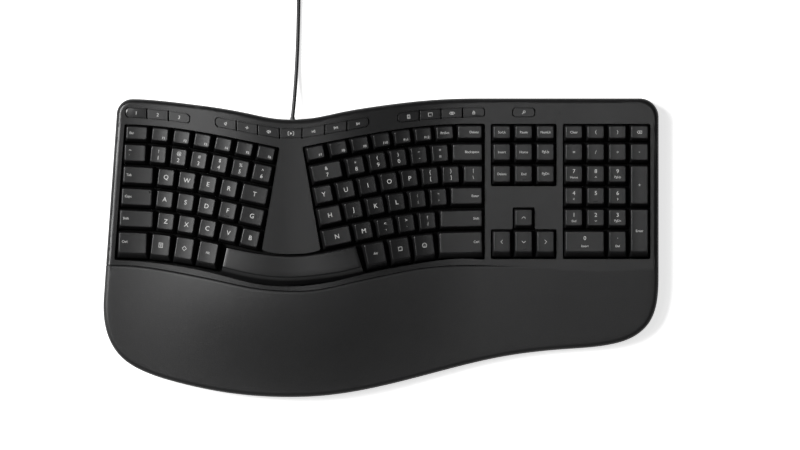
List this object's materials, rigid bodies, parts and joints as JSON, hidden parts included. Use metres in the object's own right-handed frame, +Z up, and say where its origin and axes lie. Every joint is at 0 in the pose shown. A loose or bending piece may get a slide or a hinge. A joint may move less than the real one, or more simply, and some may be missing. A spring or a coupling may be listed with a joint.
{
  "type": "ergonomic keyboard",
  "caption": "Curved ergonomic keyboard: arched split key banks, wave-shaped space bar, padded palm rest, navigation and number blocks, flush hot keys, tilt legs and a corded plug.",
  "frame": {"origin": "middle of the footprint, on the desk under the feet", "axes": "+X to the user's right, +Y to the rear (away from the user), +Z up"},
  "size_m": [0.4851, 0.4334, 0.0392],
  "materials": {
    "key_plastic": "fine matte, slightly dished tops with printed legends",
    "case_plastic": "fine matte, softly rolled rim",
    "base_plastic": "fine matte",
    "palm_leather": "soft matte cover over a foam pad",
    "foot_rubber": "matte",
    "dome_rubber": "soft, translucent",
    "membrane_film": "thin printed film",
    "plate_steel": "plain",
    "board_resin": "laminate",
    "cord_rubber": "satin",
    "tie_plastic": "matte",
    "plug_plastic": "matte",
    "plug_metal": "bright plated",
    "lens_plastic": "clear, unlit"
  },
  "bodies": {
    "case": {"top_case": "case_plastic", "bottom_case": "base_plastic", "palm_rest_pad": "palm_leather", "palm_rest_tray": "base_plastic", "key_guide_frame": "base_plastic", "dome_sheet": "dome_rubber", "switch_membrane": "membrane_film", "support_plate": "plate_steel", "controller_board": "board_resin", "case_screws": "plate_steel", "rubber_feet": "foot_rubber", "strain_relief": "cord_rubber", "cord_run": "cord_rubber", "cord_coil": "cord_rubber", "cord_tail": "cord_rubber", "coil_tie": "tie_plastic", "plug_grip": "plug_plastic", "plug_shell": "plug_metal"},
    "escape_key": {"escape_key": "key_plastic"},
    "left_function_keys": {"left_function_keys": "key_plastic"},
    "left_digit_keys": {"left_digit_keys": "key_plastic"},
    "tab_key": {"tab_key": "key_plastic"},
    "left_top_letter_keys": {"left_top_letter_keys": "key_plastic"},
    "caps_lock_key": {"caps_lock_key": "key_plastic", "caps_lock_lens": "lens_plastic"},
    "left_home_letter_keys": {"left_home_letter_keys": "key_plastic"},
    "left_shift_key": {"left_shift_key": "key_plastic"},
    "left_bottom_letter_keys": {"left_bottom_letter_keys": "key_plastic"},
    "left_modifier_keys": {"left_modifier_keys": "key_plastic"},
    "right_function_keys": {"right_function_keys": "key_plastic"},
    "right_digit_keys": {"right_digit_keys": "key_plastic"},
    "backspace_key": {"backspace_key": "key_plastic"},
    "right_top_letter_keys": {"right_top_letter_keys": "key_plastic"},
    "right_home_letter_keys": {"right_home_letter_keys": "key_plastic"},
    "enter_key": {"enter_key": "key_plastic"},
    "right_bottom_letter_keys": {"right_bottom_letter_keys": "key_plastic"},
    "right_shift_key": {"right_shift_key": "key_plastic"},
    "right_modifier_keys": {"right_modifier_keys": "key_plastic"},
    "space_bar": {"space_bar": "key_plastic"},
    "lock_keys": {"lock_keys": "key_plastic", "lock_key_lenses": "lens_plastic"},
    "insert_row_keys": {"insert_row_keys": "key_plastic"},
    "delete_row_keys": {"delete_row_keys": "key_plastic"},
    "arrow_keys": {"arrow_keys": "key_plastic"},
    "number_clear_row_keys": {"number_clear_row_keys": "key_plastic"},
    "number_operator_keys": {"number_operator_keys": "key_plastic"},
    "number_seven_row_keys": {"number_seven_row_keys": "key_plastic"},
    "number_four_row_keys": {"number_four_row_keys": "key_plastic"},
    "number_one_row_keys": {"number_one_row_keys": "key_plastic"},
    "number_zero_row_keys": {"number_zero_row_keys": "key_plastic"},
    "number_plus_key": {"number_plus_key": "key_plastic"},
    "number_enter_key": {"number_enter_key": "key_plastic"},
    "favourite_keys": {"favourite_keys": "key_plastic"},
    "media_keys": {"media_keys": "key_plastic"},
    "tool_keys": {"tool_keys": "key_plastic"},
    "search_key": {"search_key": "key_plastic"},
    "left_tilt_leg": {"left_tilt_leg": "base_plastic"},
    "right_tilt_leg": {"right_tilt_leg": "base_plastic"}
  },
  "joints": [
    {"name": "escape_key_press", "type": "slide", "parent": "case", "child": "escape_key", "axis": [0.087, 0, -0.9962], "range_m": [0, 0.0028], "stiffness_N_per_m": 110, "springref_m": -0.003, "deforming": ["dome_sheet"]},
    {"name": "left_function_keys_press", "type": "slide", "parent": "case", "child": "left_function_keys", "axis": [0.1566, 0, -0.9877], "range_m": [0, 0.0028], "stiffness_N_per_m": 660, "springref_m": -0.003, "deforming": ["dome_sheet"]},
    {"name": "left_digit_keys_press", "type": "slide", "parent": "case", "child": "left_digit_keys", "axis": [0.1615, 0, -0.9869], "range_m": [0, 0.0028], "stiffness_N_per_m": 770, "springref_m": -0.003, "deforming": ["dome_sheet"]},
    {"name": "tab_key_press", "type": "slide", "parent": "case", "child": "tab_key", "axis": [0.0899, 0, -0.9959], "range_m": [0, 0.0028], "stiffness_N_per_m": 110, "springref_m": -0.003, "deforming": ["dome_sheet"]},
    {"name": "left_top_letter_keys_press", "type": "slide", "parent": "case", "child": "left_top_letter_keys", "axis": [0.159, 0, -0.9873], "range_m": [0, 0.0028], "stiffness_N_per_m": 550, "springref_m": -0.003, "deforming": ["dome_sheet"]},
    {"name": "caps_lock_key_press", "type": "slide", "parent": "case", "child": "caps_lock_key", "axis": [0.087, 0, -0.9962], "range_m": [0, 0.0028], "stiffness_N_per_m": 110, "springref_m": -0.003, "deforming": ["dome_sheet"]},
    {"name": "left_home_letter_keys_press", "type": "slide", "parent": "case", "child": "left_home_letter_keys", "axis": [0.16, 0, -0.9871], "range_m": [0, 0.0028], "stiffness_N_per_m": 550, "springref_m": -0.003, "deforming": ["dome_sheet"]},
    {"name": "left_shift_key_press", "type": "slide", "parent": "case", "child": "left_shift_key", "axis": [0.086, 0, -0.9963], "range_m": [0, 0.0028], "stiffness_N_per_m": 110, "springref_m": -0.003, "deforming": ["dome_sheet"]},
    {"name": "left_bottom_letter_keys_press", "type": "slide", "parent": "case", "child": "left_bottom_letter_keys", "axis": [0.159, 0, -0.9873], "range_m": [0, 0.0028], "stiffness_N_per_m": 550, "springref_m": -0.003, "deforming": ["dome_sheet"]},
    {"name": "left_modifier_keys_press", "type": "slide", "parent": "case", "child": "left_modifier_keys", "axis": [0.1469, 0, -0.9892], "range_m": [0, 0.0028], "stiffness_N_per_m": 440, "springref_m": -0.003, "deforming": ["dome_sheet"]},
    {"name": "right_function_keys_press", "type": "slide", "parent": "case", "child": "right_function_keys", "axis": [-0.161, 0, -0.987], "range_m": [0, 0.0028], "stiffness_N_per_m": 880, "springref_m": -0.003, "deforming": ["dome_sheet"]},
    {"name": "right_digit_keys_press", "type": "slide", "parent": "case", "child": "right_digit_keys", "axis": [-0.1614, 0, -0.9869], "range_m": [0, 0.0028], "stiffness_N_per_m": 660, "springref_m": -0.003, "deforming": ["dome_sheet"]},
    {"name": "backspace_key_press", "type": "slide", "parent": "case", "child": "backspace_key", "axis": [-0.0365, 0, -0.9993], "range_m": [0, 0.0028], "stiffness_N_per_m": 110, "springref_m": -0.003, "deforming": ["dome_sheet"]},
    {"name": "right_top_letter_keys_press", "type": "slide", "parent": "case", "child": "right_top_letter_keys", "axis": [-0.1586, 0, -0.9873], "range_m": [0, 0.0028], "stiffness_N_per_m": 880, "springref_m": -0.003, "deforming": ["dome_sheet"]},
    {"name": "right_home_letter_keys_press", "type": "slide", "parent": "case", "child": "right_home_letter_keys", "axis": [-0.1616, 0, -0.9869], "range_m": [0, 0.0028], "stiffness_N_per_m": 660, "springref_m": -0.003, "deforming": ["dome_sheet"]},
    {"name": "enter_key_press", "type": "slide", "parent": "case", "child": "enter_key", "axis": [-0.0388, 0, -0.9992], "range_m": [0, 0.0028], "stiffness_N_per_m": 110, "springref_m": -0.003, "deforming": ["dome_sheet"]},
    {"name": "right_bottom_letter_keys_press", "type": "slide", "parent": "case", "child": "right_bottom_letter_keys", "axis": [-0.1614, 0, -0.9869], "range_m": [0, 0.0028], "stiffness_N_per_m": 550, "springref_m": -0.003, "deforming": ["dome_sheet"]},
    {"name": "right_shift_key_press", "type": "slide", "parent": "case", "child": "right_shift_key", "axis": [-0.0527, 0, -0.9986], "range_m": [0, 0.0028], "stiffness_N_per_m": 110, "springref_m": -0.003, "deforming": ["dome_sheet"]},
    {"name": "right_modifier_keys_press", "type": "slide", "parent": "case", "child": "right_modifier_keys", "axis": [-0.1433, 0, -0.9897], "range_m": [0, 0.0028], "stiffness_N_per_m": 440, "springref_m": -0.003, "deforming": ["dome_sheet"]},
    {"name": "space_bar_press", "type": "slide", "parent": "case", "child": "space_bar", "axis": [0.0048, 0, -1], "range_m": [0, 0.0028], "stiffness_N_per_m": 200, "springref_m": -0.003, "deforming": ["dome_sheet"]},
    {"name": "lock_keys_press", "type": "slide", "parent": "case", "child": "lock_keys", "axis": [0, 0, -1], "range_m": [0, 0.0028], "stiffness_N_per_m": 330, "springref_m": -0.003, "deforming": ["dome_sheet"]},
    {"name": "insert_row_keys_press", "type": "slide", "parent": "case", "child": "insert_row_keys", "axis": [0, 0, -1], "range_m": [0, 0.0028], "stiffness_N_per_m": 330, "springref_m": -0.003, "deforming": ["dome_sheet"]},
    {"name": "delete_row_keys_press", "type": "slide", "parent": "case", "child": "delete_row_keys", "axis": [0, 0, -1], "range_m": [0, 0.0028], "stiffness_N_per_m": 330, "springref_m": -0.003, "deforming": ["dome_sheet"]},
    {"name": "arrow_keys_press", "type": "slide", "parent": "case", "child": "arrow_keys", "axis": [0, 0, -1], "range_m": [0, 0.0028], "stiffness_N_per_m": 440, "springref_m": -0.003, "deforming": ["dome_sheet"]},
    {"name": "number_clear_row_keys_press", "type": "slide", "parent": "case", "child": "number_clear_row_keys", "axis": [0, 0, -1], "range_m": [0, 0.0028], "stiffness_N_per_m": 440, "springref_m": -0.003, "deforming": ["dome_sheet"]},
    {"name": "number_operator_keys_press", "type": "slide", "parent": "case", "child": "number_operator_keys", "axis": [0, 0, -1], "range_m": [0, 0.0028], "stiffness_N_per_m": 440, "springref_m": -0.003, "deforming": ["dome_sheet"]},
    {"name": "number_seven_row_keys_press", "type": "slide", "parent": "case", "child": "number_seven_row_keys", "axis": [0, 0, -1], "range_m": [0, 0.0028], "stiffness_N_per_m": 330, "springref_m": -0.003, "deforming": ["dome_sheet"]},
    {"name": "number_four_row_keys_press", "type": "slide", "parent": "case", "child": "number_four_row_keys", "axis": [0, 0, -1], "range_m": [0, 0.0028], "stiffness_N_per_m": 330, "springref_m": -0.003, "deforming": ["dome_sheet"]},
    {"name": "number_one_row_keys_press", "type": "slide", "parent": "case", "child": "number_one_row_keys", "axis": [0, 0, -1], "range_m": [0, 0.0028], "stiffness_N_per_m": 330, "springref_m": -0.003, "deforming": ["dome_sheet"]},
    {"name": "number_zero_row_keys_press", "type": "slide", "parent": "case", "child": "number_zero_row_keys", "axis": [0, 0, -1], "range_m": [0, 0.0028], "stiffness_N_per_m": 220, "springref_m": -0.003, "deforming": ["dome_sheet"]},
    {"name": "number_plus_key_press", "type": "slide", "parent": "case", "child": "number_plus_key", "axis": [0, 0, -1], "range_m": [0, 0.0028], "stiffness_N_per_m": 110, "springref_m": -0.003, "deforming": ["dome_sheet"]},
    {"name": "number_enter_key_press", "type": "slide", "parent": "case", "child": "number_enter_key", "axis": [0, 0, -1], "range_m": [0, 0.0028], "stiffness_N_per_m": 110, "springref_m": -0.003, "deforming": ["dome_sheet"]},
    {"name": "favourite_keys_press", "type": "slide", "parent": "case", "child": "favourite_keys", "axis": [0, 0, -1], "range_m": [0, 0.0009], "stiffness_N_per_m": 900, "springref_m": -0.001, "deforming": ["dome_sheet"]},
    {"name": "media_keys_press", "type": "slide", "parent": "case", "child": "media_keys", "axis": [0, 0, -1], "range_m": [0, 0.0009], "stiffness_N_per_m": 2100, "springref_m": -0.001, "deforming": ["dome_sheet"]},
    {"name": "tool_keys_press", "type": "slide", "parent": "case", "child": "tool_keys", "axis": [0, 0, -1], "range_m": [0, 0.0009], "stiffness_N_per_m": 1200, "springref_m": -0.001, "deforming": ["dome_sheet"]},
    {"name": "search_key_press", "type": "slide", "parent": "case", "child": "search_key", "axis": [0, 0, -1], "range_m": [0, 0.0009], "stiffness_N_per_m": 300, "springref_m": -0.001, "deforming": ["dome_sheet"]},
    {"name": "left_tilt_leg_hinge", "type": "hinge", "parent": "case", "child": "left_tilt_leg", "pos_m": [-0.16383, -0.0762, 0.0041], "axis": [1, 0, 0], "range_deg": [0, 85]},
    {"name": "right_tilt_leg_hinge", "type": "hinge", "parent": "case", "child": "right_tilt_leg", "pos_m": [0.15621, -0.05715, 0.0041], "axis": [1, 0, 0], "range_deg": [0, 85]}
  ]
}
